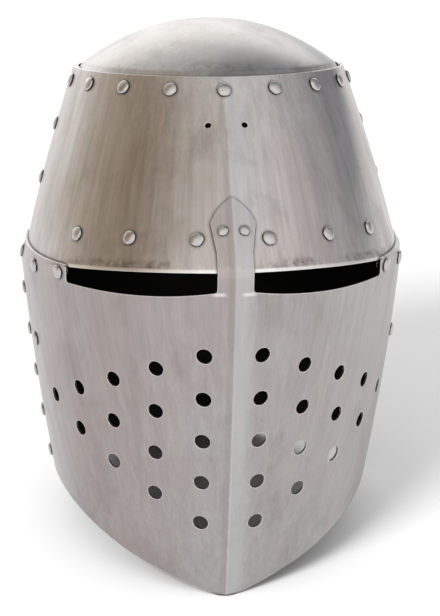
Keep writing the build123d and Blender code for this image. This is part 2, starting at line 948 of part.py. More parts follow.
# Everything by name, tipped back to stand on the floor
pieces = {
    "upper_front_plate": upper_front,
    "upper_back_plate": upper_back,
    "face_plate": face,
    "lower_back_plate": lower_back,
    "crown_plate": crown,
    "crown_rivets": rivets(crown_rivets),
    "brow_liner_rivets": rivets(brow_rivets),
    "nose_strip_rivets": rivets(strip_rivets, small_rivet_share),
    "upper_seam_rivets_left": rivets(upper_seams[1]),
    "upper_seam_rivets_right": rivets(upper_seams[-1]),
    "lower_seam_rivets_left": rivets(lower_seams[1]),
    "lower_seam_rivets_right": rivets(lower_seams[-1]),
    "cheek_rivets_left": rivets(cheek_rivets[1]),
    "cheek_rivets_right": rivets(cheek_rivets[-1]),
    "nape_rivets": rivets(nape_rivets),
    "chin_rivet_left": rivets(chin_rivets[1]),
    "chin_rivet_right": rivets(chin_rivets[-1]),
    "liner_band": band,
    "crown_strap_over": crown_straps[1],
    "crown_strap_under": crown_straps[-1],
    "crown_strap_rivet": rivets(crossing_rivet),
    "buckle_strap": buckle_strap(1),
    "strap_keeper": keeper(1),
    "buckle_frame": buckle_frame(1),
    "buckle_prong": prong(1),
    "billet_strap": billet(-1),
}

tipped = Rot(-lean, 0, 0)
helm_box = Compound([tipped * body for body in pieces.values()]).bounding_box()
stand = Pos(0, -helm_box.center().Y, -helm_box.min.Z) * tipped

os.makedirs("parts", exist_ok=True)
for name, body in pieces.items():
    with BuildPart() as piece:
        with Locations(stand):
            add(body)
    piece.part.label = name
    export_step(piece.part, f"parts/{name}.step")
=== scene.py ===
from collections import namedtuple
from math import asin, atan2, cos, degrees, pi, radians, sin

import bmesh
import bpy
from mathutils import Matrix, Vector


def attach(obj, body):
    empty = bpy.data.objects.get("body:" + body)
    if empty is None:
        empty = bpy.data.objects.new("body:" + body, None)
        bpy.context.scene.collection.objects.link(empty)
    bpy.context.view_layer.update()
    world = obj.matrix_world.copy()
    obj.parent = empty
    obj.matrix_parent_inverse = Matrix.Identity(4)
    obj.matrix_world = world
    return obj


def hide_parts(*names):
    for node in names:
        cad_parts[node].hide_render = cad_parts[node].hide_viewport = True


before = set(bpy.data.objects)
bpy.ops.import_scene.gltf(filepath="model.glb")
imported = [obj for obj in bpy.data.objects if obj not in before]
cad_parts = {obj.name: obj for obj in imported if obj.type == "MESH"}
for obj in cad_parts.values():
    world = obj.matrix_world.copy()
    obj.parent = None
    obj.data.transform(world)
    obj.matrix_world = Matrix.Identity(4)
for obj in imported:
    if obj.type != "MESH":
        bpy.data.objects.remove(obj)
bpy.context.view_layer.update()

scene = bpy.context.scene

# Sizes are in metres and headings in degrees. The helm is drawn upright, with
# its sight's upper edge level, and then tipped back to stand on its point and
# on its nape.
mm = 0.001
plate = 1.6 * mm
layer = 1.7 * mm
lean = radians(18.5013)
tipped_back = Matrix.Rotation(-lean, 4, "X")
standing = Matrix.Translation((0, 3.3401 * mm, 177.0906 * mm)) @ tipped_back
upright = standing.inverted()

# The rolled walls: three rings, from the crown's rim over the waist to the jaw
rim_height = 120.5 * mm
rim_tilt = 5.0
jaw_depth = 150.0 * mm
upper_swell = 0.0166
lower_swell = 0.0162
ring_step = 0.01

# An edge that turns by more than this is shaded sharp
sheet_edge = 25
crown_edge = 40
rivet_edge = 50
leather_edge = 30
# The leather: what counts as flat, the corners that are rubbed, and how round
leather_flat = 0.5
leather_corner = 50
leather_round = 0.45 * mm

# A ring: its half width, how far its front, its widest place and its back lie
# from the middle, and the headings of its crease and of where its arcs meet
Ring = namedtuple("Ring", "half_width front side back crease front_turn back_turn")
Arc = namedtuple("Arc", "centre radius start end")
waist = Ring(120 * mm, 151.7 * mm, 0, 145 * mm, 11.5, 33.7, 131.8)
rim = Ring(86.2 * mm, 93.6 * mm, -1.8 * mm, 80.5 * mm, 6.0, 82.0, 129.7)
jaw = Ring(99.7 * mm, 94.1 * mm, 26 * mm, 116 * mm, 16.5, 34.9, 131.8)


def ring_between(first, last, share, most_swell):
    """A ring part of the way along a wall, which swells most halfway."""
    swell = 1 + 4 * share * (1 - share) * most_swell
    ring = Ring(*[a + (b - a) * share for a, b in zip(first, last)])
    return ring._replace(
        half_width=ring.half_width * swell, front=ring.front * swell, back=ring.back * swell
    )


def ring_at(share, upper):
    """A ring of the upper or the lower wall, a share of the way from the waist."""
    if upper:
        return ring_between(waist, rim, share, upper_swell)
    return ring_between(waist, jaw, share, lower_swell)


def set_in(ring, front, sides, back):
    return ring._replace(
        half_width=ring.half_width - sides, front=ring.front - front, back=ring.back - back
    )


def ring_middle(ring):
    return (ring.side + ring.back - ring.front) / 2


def drawn_in(ring, share):
    """A ring drawn in towards its middle, its crease fading out on the way."""
    middle = ring_middle(ring)
    return ring._replace(
        half_width=ring.half_width * share,
        front=(ring.front + middle) * share - middle,
        side=middle + (ring.side - middle) * share,
        back=ring.back * share,
        crease=ring.crease * share**3,
    )


def two_radii(across, along, start, turn, end):
    """The radii of two tangent arcs that cover a span and meet at the heading turn."""
    s, t, e = radians(start), radians(turn), radians(end)
    a, b = sin(t) - sin(s), sin(e) - sin(t)
    c, d = cos(s) - cos(t), cos(t) - cos(e)
    cross = a * d - b * c
    return (across * d - b * along) / cross, (a * along - c * across) / cross


def ring_arcs(ring):
    """The right half of a ring as four tangent arcs, from the front to the back."""
    front_radii = two_radii(
        ring.half_width, ring.front + ring.side, ring.crease, ring.front_turn, 90
    )
    back_radii = two_radii(-ring.half_width, ring.back, 90, ring.back_turn, 180)
    arcs = []
    spot = (0.0, -ring.front)
    headings = (ring.crease, ring.front_turn, 90, ring.back_turn, 180)
    for radius, start, end in zip(front_radii + back_radii, headings, headings[1:]):
        s, e = radians(start), radians(end)
        centre = (spot[0] - radius * sin(s), spot[1] + radius * cos(s))
        arcs.append(Arc(centre, radius, start, end))
        spot = (centre[0] + radius * sin(e), centre[1] - radius * cos(e))
    return arcs


def arc_spot(arc, heading):
    h = radians(heading)
    return arc.centre[0] + arc.radius * sin(h), arc.centre[1] - arc.radius * cos(h)


def wall_share(point):
    """A point's ring as a share of its wall, its place along it, and if the wall is the upper."""
    if point.z < 0:
        return -point.z / jaw_depth, point.y, False
    share, along = point.z / rim_height, point.y
    for _ in range(4):
        tilt = radians(rim_tilt * share)
        along = point.y / cos(tilt)
        share = (point.z - along * sin(tilt)) / rim_height
    return share, along, True


def spot_in_space(share, upper, x, y):
    """A spot of a ring's plane, upright."""
    if not upper:
        return Vector((x, y, -jaw_depth * share))
    tilt = radians(rim_tilt * share)
    return Vector((x, y * cos(tilt), rim_height * share + y * sin(tilt)))


def wall_normal(point, depth):
    """The wall's outward direction at an upright point, and how far off that wall it lies."""
    share, along, upper = wall_share(point)
    arcs = ring_arcs(set_in(ring_at(share, upper), depth, depth, depth))
    next_arcs = ring_arcs(set_in(ring_at(share + ring_step, upper), depth, depth, depth))
    for arc, next_arc in zip(arcs, next_arcs):
        if along <= arc_spot(arc, arc.end)[1]:
            break
    turn = max(-1.0, min(1.0, (arc.centre[1] - along) / arc.radius))
    heading = max(arc.start, min(arc.end, 90 - degrees(asin(turn))))
    here = spot_in_space(share, upper, *arc_spot(arc, heading))
    there = spot_in_space(share + ring_step, upper, *arc_spot(next_arc, heading))
    along_ring = Vector((cos(radians(heading)), sin(radians(heading)), 0))
    out = along_ring.cross(there - here).normalized()
    if there.z < here.z:
        out = -out
    miss = (Vector((abs(point.x), point.y, point.z)) - here).dot(out)
    if point.x < 0:
        out.x = -out.x
    return out, miss


def mesh_object(name, bm):
    """Puts a finished mesh into the scene."""
    mesh = bpy.data.meshes.new(name)
    bm.to_mesh(mesh)
    bm.free()
    shown = bpy.data.objects.new(name, mesh)
    scene.collection.objects.link(shown)
    return shown


def new_piece(name, bm, body, materials, node):
    """Makes a piece of a finished mesh that stands for a CAD node."""
    piece = mesh_object(name, bm)
    for material in materials:
        piece.data.materials.append(material)
    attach(piece, body)
    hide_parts(node)
    return piece


def welded_copy(node, gap, turn):
    """A CAD node's loose triangles as one mesh, turned from how they stand."""
    bm = bmesh.new()
    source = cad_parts[node]
    bm.from_mesh(source.data)
    bm.transform(turn @ source.matrix_world)
    bmesh.ops.remove_doubles(bm, verts=bm.verts, dist=gap)
    return bm


def shade_smooth(bm, sharp):
    """Shades a mesh smooth, apart from the edges that turn by more than an angle."""
    for face in bm.faces:
        face.smooth = True
    for edge in bm.edges:
        if len(edge.link_faces) != 2 or edge.calc_face_angle() > radians(sharp):
            edge.smooth = False


def taken_over(node, sharp):
    """The frame's own shape, upright, with outward faces and smooth but for its edges."""
    bm = welded_copy(node, 0.002 * mm, upright)
    bmesh.ops.recalc_face_normals(bm, faces=bm.faces)
    shade_smooth(bm, sharp)
    return bm


# How near a face has to lie to the rolled wall, and how squarely, to be part of it
wall_reach = 0.4 * mm
wall_facing = 0.85
# The strip over the nose runs straight through the waist, so there the two
# walls' directions are averaged
strip_reach = 20 * mm
strip_rows = (-5 * mm, 6 * mm)
on_the_waist = 0.01 * mm
hair = 0.0001 * mm


def side_normal(spot, depth, side):
    """The direction of a plate's outer face, side 0, or inner face, side 1."""
    return wall_normal(spot, depth + side * plate)[0] * (1 - 2 * side)


def corner_normal(corner, middle, depth, side):
    """The rolled direction at a face's corner, on the face's own side of waist and crease."""
    spot = corner.copy()
    spot.z = max(spot.z, hair) if middle.z > 0 else min(spot.z, -hair)
    spot.x = max(spot.x, hair) if middle.x > 0 else min(spot.x, -hair)
    normal = side_normal(spot, depth, side)
    if abs(spot.z) < on_the_waist and abs(spot.x) < strip_reach and spot.y < 0:
        spot.z = -spot.z
        normal = (normal + side_normal(spot, depth, side)).normalized()
    return normal


def sheet_piece(name, node, depth, materials):
    """A riveted plate, shaded with the true direction of its rolled surface."""
    bm = taken_over(node, sheet_edge)
    for height in strip_rows:
        whole = bm.verts[:] + bm.edges[:] + bm.faces[:]
        bmesh.ops.bisect_plane(bm, geom=whole, plane_co=(0, 0, height), plane_no=(0, 0, 1))
    piece = new_piece(name, bm, "helm", materials, node)
    mesh = piece.data
    normals = [Vector(corner.vector) for corner in mesh.corner_normals]
    found = {}
    for face in mesh.polygons:
        middle = face.center
        for side in (0, 1):
            out, miss = wall_normal(middle, depth + side * plate)
            facing = out.dot(face.normal) * (1 - 2 * side)
            if abs(miss) >= wall_reach or facing <= wall_facing:
                continue
            face.material_index = side
            for loop in face.loop_indices:
                vertex = mesh.loops[loop].vertex_index
                key = (vertex, side, middle.z > 0, middle.x > 0)
                if key not in found:
                    found[key] = corner_normal(mesh.vertices[vertex].co, middle, depth, side)
                normals[loop] = found[key]
            break
    turned = standing.to_3x3()
    mesh.transform(standing)
    mesh.normals_split_custom_set([turned @ normal for normal in normals])
    return piece


# The crown plate: its flange sits inside the upper plates, and its dome springs
# from a rounded bend at the rim
crown_top = 1 - 2 * mm / rim_height
flange_foot = 1 - 17 * mm / rim_height
crown_in_front = 2.0 * mm
crown_in_side = 3.7 * mm
bend_height = 3.4 * mm
bend_drop = 2.72 * mm
bend_pull = 1.8972 * mm
bend_lift = 0.2 * mm
dome_rise = 32 * mm
dome_spring = 1.5 * mm
spring_share = 0.6
flange_rows = 3
bend_rows = 8
dome_rows = 42
columns = (18, 22, 22, 18)


def crown_ring(share, depth):
    """The crown plate's ring inside the upper plates, which lap only at the sides and back."""
    side = crown_in_side + depth
    return set_in(ring_at(share, True), crown_in_front + depth, side, side)


def above_ring(share, rise):
    """The way up from a ring's tilted plane."""
    tilt = radians(rim_tilt * share)
    return Vector((0, -sin(tilt) * rise, cos(tilt) * rise))


def ring_row(bm, ring, share, rise):
    """One closed row of edges round a ring, a height above its plane."""
    arcs = ring_arcs(ring)
    half = []
    for arc, parts in zip(arcs, columns):
        for part in range(parts):
            half.append(arc_spot(arc, arc.start + (arc.end - arc.start) * part / parts))
    half.append(arc_spot(arcs[-1], 180))
    around = half + [(-x, y) for x, y in half[-2:0:-1]]
    lift = above_ring(share, rise)
    row = [bm.verts.new(spot_in_space(share, True, x, y) + lift) for x, y in around]
    return [bm.edges.new(pair) for pair in zip(row, row[1:] + row[:1])]


def crown_side(bm, side):
    """Makes the outer or the inner face of the crown plate, and gives the edges of its foot."""
    depth = side * plate
    rows = []
    flange_top = crown_top - bend_height / rim_height
    for step in range(flange_rows + 1):
        share = flange_foot + (flange_top - flange_foot) * step / flange_rows
        rows.append(ring_row(bm, crown_ring(share, depth), share, 0))
    for step in range(1, bend_rows):
        turn = radians(90 * step / bend_rows)
        near = crown_ring(crown_top, depth + bend_pull * (1 - cos(turn)))
        lift = dome_spring * sin(turn) - bend_drop * (1 - sin(turn)) + bend_lift
        rows.append(ring_row(bm, near, crown_top, lift))
    ring = crown_ring(crown_top, depth)
    rise = dome_rise - depth
    radius = (ring.half_width**2 + rise**2) / (2 * rise)
    rim_angle = atan2(ring.half_width, radius - rise)
    for step in range(2, dome_rows):
        share = 1 - step / dome_rows
        angle = rim_angle * share
        spring = dome_spring * max(0, (share - spring_share) / (1 - spring_share)) ** 2
        height = radius * (cos(angle) - cos(rim_angle)) + spring
        rows.append(ring_row(bm, drawn_in(ring, sin(angle) / sin(rim_angle)), crown_top, height))
    faces = []
    for low, high in zip(rows, rows[1:]):
        faces += bmesh.ops.bridge_loops(bm, edges=low + high)["faces"]
    cap = bmesh.ops.contextual_create(bm, geom=rows[-1])["faces"]
    poked = bmesh.ops.poke(bm, faces=cap)
    tip = spot_in_space(crown_top, True, 0, ring_middle(ring)) + above_ring(crown_top, rise)
    poked["verts"][0].co = tip
    for face in faces + poked["faces"]:
        face.material_index = side
    return rows[0]


def crown_mesh():
    """The crown plate: a flange inside the upper plates, a rounded bend and a low dome."""
    bm = bmesh.new()
    # The foot's two rings lie in one plane, where bridge_loops twists them
    for outer, inner in zip(crown_side(bm, 0), crown_side(bm, 1)):
        bm.faces.new((*outer.verts, inner.verts[1], inner.verts[0]))
    bm.normal_update()
    bmesh.ops.recalc_face_normals(bm, faces=bm.faces)
    shade_smooth(bm, crown_edge)
    bm.transform(standing)
    return bm


# A rivet's sizes, from its domed head over its shank to its clenched end
head_radius = 4.35 * mm
head_dome = 1.85 * mm
head_height = 1.9 * mm
shank_radius = 2 * mm
shank_start = 1 * mm
shank_stop = 1.6 * mm
clench_foot = 2.6 * mm
clench_radius = 3.3 * mm
clench_top = 2.9 * mm
clench_chamfer = 0.3 * mm
clench_side = 0.9 * mm
clench_height = 1.2 * mm
head_steps = 28
clench_steps = 18
shank_steps = 14
# How far the hammered edges run out of round, and what makes each rivet differ
head_wobble = 0.02
clench_wobble = 0.03
head_seed = 2.3
clench_seed = 1.9
# Where the helm's inside lies from a rivet, to tell which way it looks
inside_y = -5 * mm
inside_drop = 6 * mm


def islands(bm):
    """The separate solids of a mesh, as lists of faces."""
    seen = set()
    groups = []
    for first in bm.faces:
        if first in seen:
            continue
        seen.add(first)
        group = [first]
        for face in group:
            for edge in face.edges:
                for other in edge.link_faces:
                    if other not in seen:
                        seen.add(other)
                        group.append(other)
        groups.append(group)
    return groups


def principal_axis(faces):
    """The direction that the most of a rivet's surface looks along."""
    table = Matrix(((0, 0, 0), (0, 0, 0), (0, 0, 0)))
    for face in faces:
        area, out = face.calc_area(), face.normal
        for i in range(3):
            for j in range(3):
                table[i][j] += area * out[i] * out[j]
    axis = Vector((0.3, 0.5, 0.8))
    for _ in range(60):
        axis = (table @ axis).normalized()
    return axis


def rivet_places(node):
    """Where each rivet of a CAD node sits: the top of its head, its outward axis, its length."""
    bm = welded_copy(node, 0.001 * mm, Matrix())
    bm.normal_update()
    places = []
    for faces in islands(bm):
        axis = principal_axis(faces)
        corners = dict.fromkeys(vert for face in faces for vert in face.verts)
        middle = sum((vert.co for vert in corners), Vector()) / len(corners)
        inside = standing @ Vector((0, inside_y, (upright @ middle).z - inside_drop))
        if axis.dot(middle - inside) < 0:
            axis = -axis
        along = [(vert.co - middle).dot(axis) for vert in corners]
        places.append((middle + axis * max(along), axis, max(along) - min(along)))
    bm.free()
    return places


def lathe(bm, seat, axis, profile, steps, wobble=0.0, seed=0):
    """Spins a profile of (radius, height) round an axis, a little uneven as if hammered."""
    before = set(bm.verts)
    corners = [bm.verts.new((radius, 0, height)) for radius, height in profile]
    line = [bm.edges.new(pair) for pair in zip(corners, corners[1:])]
    bmesh.ops.spin(
        bm, geom=corners + line, cent=(0, 0, 0), axis=(0, 0, 1), angle=2 * pi, steps=steps,
        use_merge=True
    )
    open_ends = [edge for edge in bm.edges if edge.is_boundary]
    bmesh.ops.holes_fill(bm, edges=open_ends, sides=0)
    turn = axis.to_track_quat("Z", "Y").to_matrix()
    for vert in bm.verts:
        if vert not in before:
            x, y, height = vert.co
            angle = atan2(y, x)
            uneven = 1 + wobble * (0.6 * sin(3 * angle + 1.7 * seed) + sin(5 * angle + seed))
            vert.co = seat + turn @ Vector((x * uneven, y * uneven, height))


def head_profile(size):
    """A low dome with a flattened top and a tight edge on the plate."""
    radius, dome = head_radius * size, head_dome * size
    shape = [(radius * 0.97, 0), (radius, dome * 0.1), (radius * 0.985, dome * 0.25)]
    for step in range(1, 8):
        turn = radians(12 + 78 * step / 8)
        shape.append((radius * cos(turn) ** 0.9, dome * (0.25 + 0.75 * sin(turn) ** 1.15)))
    shape.append((radius * 0.12, dome))
    return shape


def rivet_piece(name, node, material, size=1.0):
    """A node's rivets as they are set: a domed head, a shank and a clenched end."""
    head = head_profile(size)
    clench = [
        (clench_foot * size, 0),
        (clench_radius * size, clench_chamfer),
        (clench_radius * size, clench_side * size),
        (clench_top * size, clench_height * size),
    ]
    bm = bmesh.new()
    for number, (top, axis, length) in enumerate(rivet_places(node)):
        seat = top - axis * head_height * size
        end = top - axis * length
        ends = (shank_start * size, length - shank_stop * size)
        shank = [(shank_radius * size, height) for height in ends]
        lathe(bm, seat, axis, head, head_steps, head_wobble, number * head_seed)
        lathe(bm, end, axis, clench, clench_steps, clench_wobble, number * clench_seed)
        lathe(bm, end, axis, shank, shank_steps)
    bm.normal_update()
    bmesh.ops.recalc_face_normals(bm, faces=bm.faces)
    shade_smooth(bm, rivet_edge)
    return new_piece(name, bm, "helm", [material], node)


def leather_piece(name, node, body, leather):
    """A strap or band of leather, its cut edges rubbed round."""
    bm = taken_over(node, leather_edge)
    bm.transform(standing)
    bmesh.ops.dissolve_limit(bm, angle_limit=radians(leather_flat), verts=bm.verts, edges=bm.edges)
    piece = new_piece(name, bm, body, [leather], node)
    rounding = piece.modifiers.new("rounding", "BEVEL")
    rounding.width = leather_round
    rounding.segments = 2
    rounding.limit_method = "ANGLE"
    rounding.angle_limit = radians(leather_corner)
    rounding.harden_normals = True
    return piece


# Materials: the nodes that patterns are built from
def set_sockets(tree, node, sockets):
    """Links what another node gives, and sets plain values."""
    for socket, value in sockets.items():
        if isinstance(value, bpy.types.NodeSocket):
            tree.links.new(value, node.inputs[socket])
        else:
            node.inputs[socket].default_value = value


def put(tree, kind, sockets=None, **settings):
    """Adds a node with its settings and its sockets."""
    node = tree.nodes.new(kind)
    for key, value in settings.items():
        setattr(node, key, value)
    set_sockets(tree, node, sockets or {})
    return node


def new_material(name):
    """A material with its node tree and one plain shader."""
    material = bpy.data.materials.new(name)
    material.use_nodes = True
    tree = material.node_tree
    tree.nodes.clear()
    shader = put(tree, "ShaderNodeBsdfPrincipled")
    put(tree, "ShaderNodeOutputMaterial", {"Surface": shader.outputs[0]})
    return material, tree, shader


def rgba(colour, share=1):
    """A colour, or a darker share of it, as a socket takes it."""
    return (*[value * share for value in colour], 1)


def combined(tree, operation, first, *others):
    """One number from several, taken two at a time."""
    for other in others:
        first = put(tree, "ShaderNodeMath", {0: first, 1: other}, operation=operation).outputs[0]
    return first


def total(tree, *values):
    return combined(tree, "ADD", *values)


def product(tree, *values):
    return combined(tree, "MULTIPLY", *values)


def most(tree, *values):
    return combined(tree, "MAXIMUM", *values)


def spread(tree, value, low, high, to_low=0.0, to_high=1.0):
    """Stretches the range from low to high over another one, and holds its ends."""
    sockets = {
        "Value": value, "From Min": low, "From Max": high, "To Min": to_low, "To Max": to_high
    }
    return put(tree, "ShaderNodeMapRange", sockets).outputs["Result"]


def mixed(tree, share, first, second):
    """Two colours mixed by a share, through the Mix node's sockets for colours."""
    sockets = {0: share, 6: first, 7: second}
    return put(tree, "ShaderNodeMix", sockets, data_type="RGBA").outputs[2]


def times(tree, colour, factor):
    sockets = {0: colour, "Scale": factor}
    return put(tree, "ShaderNodeVectorMath", sockets, operation="SCALE").outputs[0]


def noise(tree, place, scale, detail, rough=0.6):
    sockets = {"Vector": place, "Scale": scale, "Detail": detail, "Roughness": rough}
    return put(tree, "ShaderNodeTexNoise", sockets).outputs["Fac"]


def placed(tree, scale=(1, 1, 1)):
    """The piece's own place, set upright and stretched."""
    where = put(tree, "ShaderNodeTexCoord")
    sockets = {"Vector": where.outputs["Object"], "Rotation": (lean, 0, 0), "Scale": scale}
    return put(tree, "ShaderNodeMapping", sockets).outputs["Vector"]


def upright_parts(tree):
    """Places on the upright helm, in metres from the middle of the sight's edge."""
    where = put(tree, "ShaderNodeTexCoord")
    sockets = {
        "Vector": where.outputs["Object"],
        "Rotation": (lean, 0, 0),
        "Location": upright.translation,
    }
    mapping = put(tree, "ShaderNodeMapping", sockets)
    return put(tree, "ShaderNodeSeparateXYZ", {0: mapping.outputs["Vector"]}).outputs


def up_the_wall(tree):
    """Places drawn out to the waist's outline, so that a grain runs up the sloping wall."""
    x, y, height = upright_parts(tree)
    above = spread(tree, height, 0, rim_height, 1, 1.5)
    below = spread(tree, height, 0, -jaw_depth, 1, 1.3)
    slope = product(tree, above, below)
    sockets = {
        "X": product(tree, x, slope),
        "Y": product(tree, y, slope),
        "Z": product(tree, height, 0.02),
    }
    return put(tree, "ShaderNodeCombineXYZ", sockets).outputs["Vector"]


Band = namedtuple("Band", "low high soft")


def between(tree, value, band):
    """1 inside a band, fading out over its soft edges."""
    rise = spread(tree, value, band.low - band.soft, band.low)
    fall = spread(tree, value, band.high + band.soft, band.high)
    return product(tree, rise, fall)


def rounded_normal(tree, radius):
    return put(tree, "ShaderNodeBevel", {"Radius": radius}, samples=4).outputs["Normal"]


def bumped(tree, height, strength, distance, normal=None):
    sockets = {"Height": height, "Strength": strength, "Distance": distance}
    if normal is not None:
        sockets["Normal"] = normal
    return put(tree, "ShaderNodeBump", sockets).outputs["Normal"]


def openness(tree, distance, low, high):
    """How open a spot lies: 0 in a corner between two pieces, 1 on open metal."""
    node = put(tree, "ShaderNodeAmbientOcclusion", {"Distance": distance}, samples=6)
    return spread(tree, node.outputs["AO"], low, high)


def rubbed_and_highlit_edge(tree, radius):
    """Edges rubbed bright by a hand or a cloth, with a painted highlight: 1 on the edge, 0 off it.
    """
    shape = put(tree, "ShaderNodeNewGeometry")
    sockets = {0: rounded_normal(tree, radius), 1: shape.outputs["Normal"]}
    turn = put(tree, "ShaderNodeVectorMath", sockets, operation="DOT_PRODUCT")
    return spread(tree, turn.outputs["Value"], 0.985, 0.90)


# Materials: the steel sheets. Each band runs across the helm, or up it from the
# sight's upper edge, and each noise scale is in marks to a metre.
# Bands for painted highlights on the ridge line, the sight's lip and the strip's bend with its two
# corners, and for a painted highlight and painted shade on the crease's two flanks
ridge_line = Band(0.1 * mm, 0.5 * mm, 0.6 * mm)
highlit_flank = Band(1.5 * mm, 6 * mm, 8 * mm)
shaded_flank = Band(-3.5 * mm, -1.2 * mm, 1.2 * mm)
sight_lip = Band(-0.5 * mm, 1.4 * mm, 1 * mm)
strip_bend = Band(-13.2 * mm, -12.2 * mm, 1 * mm)
strip_left = Band(-11.5 * mm, -7.5 * mm, 3 * mm)
strip_right = Band(6 * mm, 10 * mm, 3 * mm)
# Lighter steels for painted highlights, and for edges rubbed bright
highlight_steel = (0.55, 0.56, 0.585)
polished_and_highlight_steel = (0.80, 0.78, 0.76)

Steel = namedtuple(
    "Steel",
    "base stain rough bands grime soot left_tint grain ridge_shine lip_shine bend_shine strip_lift",
    defaults=(None, 0, 0, 1.0, 0, 0, 0, 1),
)
Marks = namedtuple("Marks", "scratches streaks bands clouds smudges specks dents")


def steel_marks(tree):
    """The patterns on a sheet: a grain up the wall, and stains that run no way."""
    up = up_the_wall(tree)
    plain = placed(tree)
    drawn_up = placed(tree, (1, 1, 0.5))
    return Marks(
        scratches=noise(tree, up, 1500, 3),
        streaks=noise(tree, up, 380, 4),
        bands=total(tree, noise(tree, up, 75, 3), noise(tree, up, 190, 2)),
        clouds=noise(tree, plain, 9, 5),
        smudges=noise(tree, drawn_up, 34, 6, 0.65),
        specks=noise(tree, plain, 260, 6, 0.7),
        dents=noise(tree, plain, 26, 2, 0.5),
    )


def stained_colour(tree, steel, marks, x, height, front):
    """Cloudy wear, faint stains, soot in a lap, and the grain's light and dark."""
    clouded = spread(tree, marks.clouds, 0.40, 0.68)
    # Stains grow heavier towards the left, and the front's left side is tinted darker and warmer
    stained = product(tree, clouded, spread(tree, x, -5 * mm, 12 * mm, 1, 0.45))
    colour = mixed(tree, stained, rgba(steel.base), rgba(steel.stain))
    left = spread(tree, x, -2 * mm, -50 * mm, 0.2 * steel.left_tint, 1.15 * steel.left_tint)
    colour = mixed(tree, product(tree, left, front), colour, rgba(steel.stain))
    smudged = spread(tree, marks.smudges, 0.53, 0.74, 0, 0.5)
    colour = mixed(tree, smudged, colour, rgba(steel.stain, 0.62))
    if steel.grime:
        patchy = spread(tree, marks.smudges, 0.40, 0.56)
        crumbs = product(tree, patchy, spread(tree, marks.specks, 0.38, 0.60))
        soot = product(tree, between(tree, height, steel.grime), crumbs, front, steel.soot)
        colour = mixed(tree, soot, colour, rgba(steel.stain, 0.55))
    streaks = spread(tree, marks.streaks, 0.3, 0.7, 0.965, 1.03)
    scratches = spread(tree, marks.scratches, 0.3, 0.7, 0.93, 1.06)
    pits = spread(tree, marks.specks, 0.70, 0.80, 1.0, 0.86)
    bands = spread(tree, marks.bands, 0.75, 1.25, 1 - steel.bands, 1 + steel.bands)
    colour = times(tree, colour, product(tree, streaks, scratches, pits, bands))
    # From just below the waist upwards, over the strip on the nose, the colour is made lighter
    return times(tree, colour, spread(tree, height, -10 * mm, 2 * mm, 1, steel.strip_lift))


def lit_and_shaded_flanks(tree, steel, colour, x, front):
    """Both sides of the crease down the front: a painted highlight on one flank, painted shade on
    the other.
    """
    highlit = product(tree, between(tree, x, highlit_flank), front, spread(tree, x, 0, 0.8 * mm))
    colour = mixed(tree, product(tree, highlit, 0.35), colour, rgba(highlight_steel))
    shaded = product(tree, between(tree, x, shaded_flank), front)
    return mixed(tree, product(tree, shaded, 0.18), colour, rgba(steel.stain, 0.62))


def painted_highlight_lines(tree, steel, smudges, x, height, front):
    """Painted highlights on the front: along the crease, on the sight's lip and at the strip's
    bend.
    """
    uneven = spread(tree, smudges, 0.30, 0.62, 0.2 * steel.ridge_shine, steel.ridge_shine)
    ridge = product(tree, between(tree, x, ridge_line), uneven)
    lip = product(tree, between(tree, height, sight_lip), steel.lip_shine)
    corners = total(tree, between(tree, x, strip_left), between(tree, x, strip_right))
    bend = product(tree, between(tree, height, strip_bend), steel.bend_shine, corners)
    return product(tree, most(tree, ridge, lip, bend), front)


def brushed_sheet(name, steel):
    """Satin steel with an upright grain, cloudy wear and faint stains, edges rubbed bright with a
    painted highlight, painted highlights and painted shade down the front, and painted shade with
    dirt in its corners.
    """
    material, tree, shader = new_material(name)
    marks = steel_marks(tree)
    x, y, height = upright_parts(tree)
    front = spread(tree, y, -20 * mm, -50 * mm)
    colour = stained_colour(tree, steel, marks, x, height, front)
    # The crease's flanks: a painted highlight on one, painted shade on the other
    if steel.ridge_shine:
        colour = lit_and_shaded_flanks(tree, steel, colour, x, front)
    lines = painted_highlight_lines(tree, steel, marks.smudges, x, height, front)
    # Painted highlights, and edges rubbed bright, mixed in as a lighter steel
    bright = most(tree, rubbed_and_highlit_edge(tree, 0.9 * mm), lines)
    colour = mixed(tree, bright, colour, rgba(polished_and_highlight_steel))
    # Painted shade, with some dirt: the steel darkens in corners between pieces, at lap edges and
    # round rivet heads
    shade_and_dirt = spread(tree, openness(tree, 2.2 * mm, 0.62, 0.95), 0, 1, 0.08, 1)
    dull = spread(tree, marks.smudges, 0.3, 0.7, -0.03, 0.05)
    satin = spread(tree, marks.scratches, 0.25, 0.75, -0.04, 0.05)
    relief = total(tree, product(tree, marks.scratches, 0.6), marks.streaks)
    brushed = bumped(tree, relief, 0.10 * steel.grain, 0.3 * mm, rounded_normal(tree, 0.6 * mm))
    sockets = {
        "Base Color": times(tree, colour, shade_and_dirt),
        "Metallic": 1.0,
        "Roughness": total(tree, satin, dull, steel.rough),
        "Normal": bumped(tree, marks.dents, 0.18, 1 * mm, brushed),
    }
    set_sockets(tree, shader, sockets)
    return material


def scaled_and_shaded_sheet(name, base):
    """The inside of a plate, dark both for scale left from the fire and as painted shade inside the
    helm, dull and a little rough.
    """
    material, tree, shader = new_material(name)
    plain = placed(tree)
    clouds = noise(tree, plain, 16, 5)
    sockets = {
        "Base Color": mixed(tree, spread(tree, clouds, 0.35, 0.7), rgba(base), rgba(base, 0.5)),
        "Metallic": 0.6,
        "Roughness": spread(tree, clouds, 0.3, 0.7, 0.5, 0.7),
        "Normal": bumped(tree, noise(tree, plain, 300, 4), 0.3, 0.3 * mm),
    }
    set_sockets(tree, shader, sockets)
    return material


